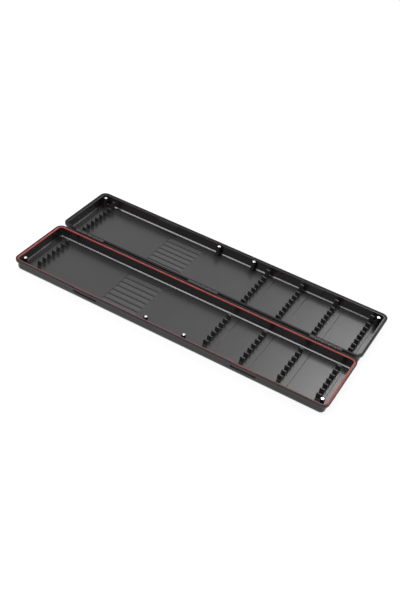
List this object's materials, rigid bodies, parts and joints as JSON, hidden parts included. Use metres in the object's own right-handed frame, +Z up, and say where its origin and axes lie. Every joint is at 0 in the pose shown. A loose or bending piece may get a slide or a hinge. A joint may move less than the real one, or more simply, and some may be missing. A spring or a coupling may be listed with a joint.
{
  "type": "fishing rig box",
  "caption": "Long, shallow black box in two hinged trays with a red rim seal, corner magnets and rows of comb plates that hold fishing hooklengths straight; shown lying open flat.",
  "frame": {"origin": "on the surface that the open box lies on, under the middle of the hinge line", "axes": "+X along the box, towards the four close combs; +Y from the base to the lid; +Z up"},
  "size_m": [0.44, 0.2098, 0.0191],
  "materials": {
    "shell_plastic": "semi-gloss black",
    "panel_plastic": "semi-gloss black",
    "seal_rubber": "satin brick red",
    "magnet_nickel": "bright nickel",
    "pin_steel": "plain steel"
  },
  "bodies": {
    "base": {"base_shell": "shell_plastic", "base_long_panel": "panel_plastic", "base_comb_panel_1": "panel_plastic", "base_comb_panel_2": "panel_plastic", "base_comb_panel_3": "panel_plastic", "base_magnet_1": "magnet_nickel", "base_magnet_2": "magnet_nickel", "base_magnet_3": "magnet_nickel", "base_magnet_4": "magnet_nickel", "base_seal": "seal_rubber", "hinge_pin_left": "pin_steel", "hinge_pin_middle": "pin_steel", "hinge_pin_right": "pin_steel"},
    "lid": {"lid_shell": "shell_plastic", "lid_long_panel": "panel_plastic", "lid_comb_panel_1": "panel_plastic", "lid_comb_panel_2": "panel_plastic", "lid_comb_panel_3": "panel_plastic", "lid_magnet_1": "magnet_nickel", "lid_magnet_2": "magnet_nickel", "lid_magnet_3": "magnet_nickel", "lid_magnet_4": "magnet_nickel"}
  },
  "joints": [
    {"name": "lid_hinge", "type": "hinge", "parent": "base", "child": "lid", "pos_m": [0, 0, 0.01695], "axis": [1, 0, 0], "range_deg": [0, 180]}
  ]
}
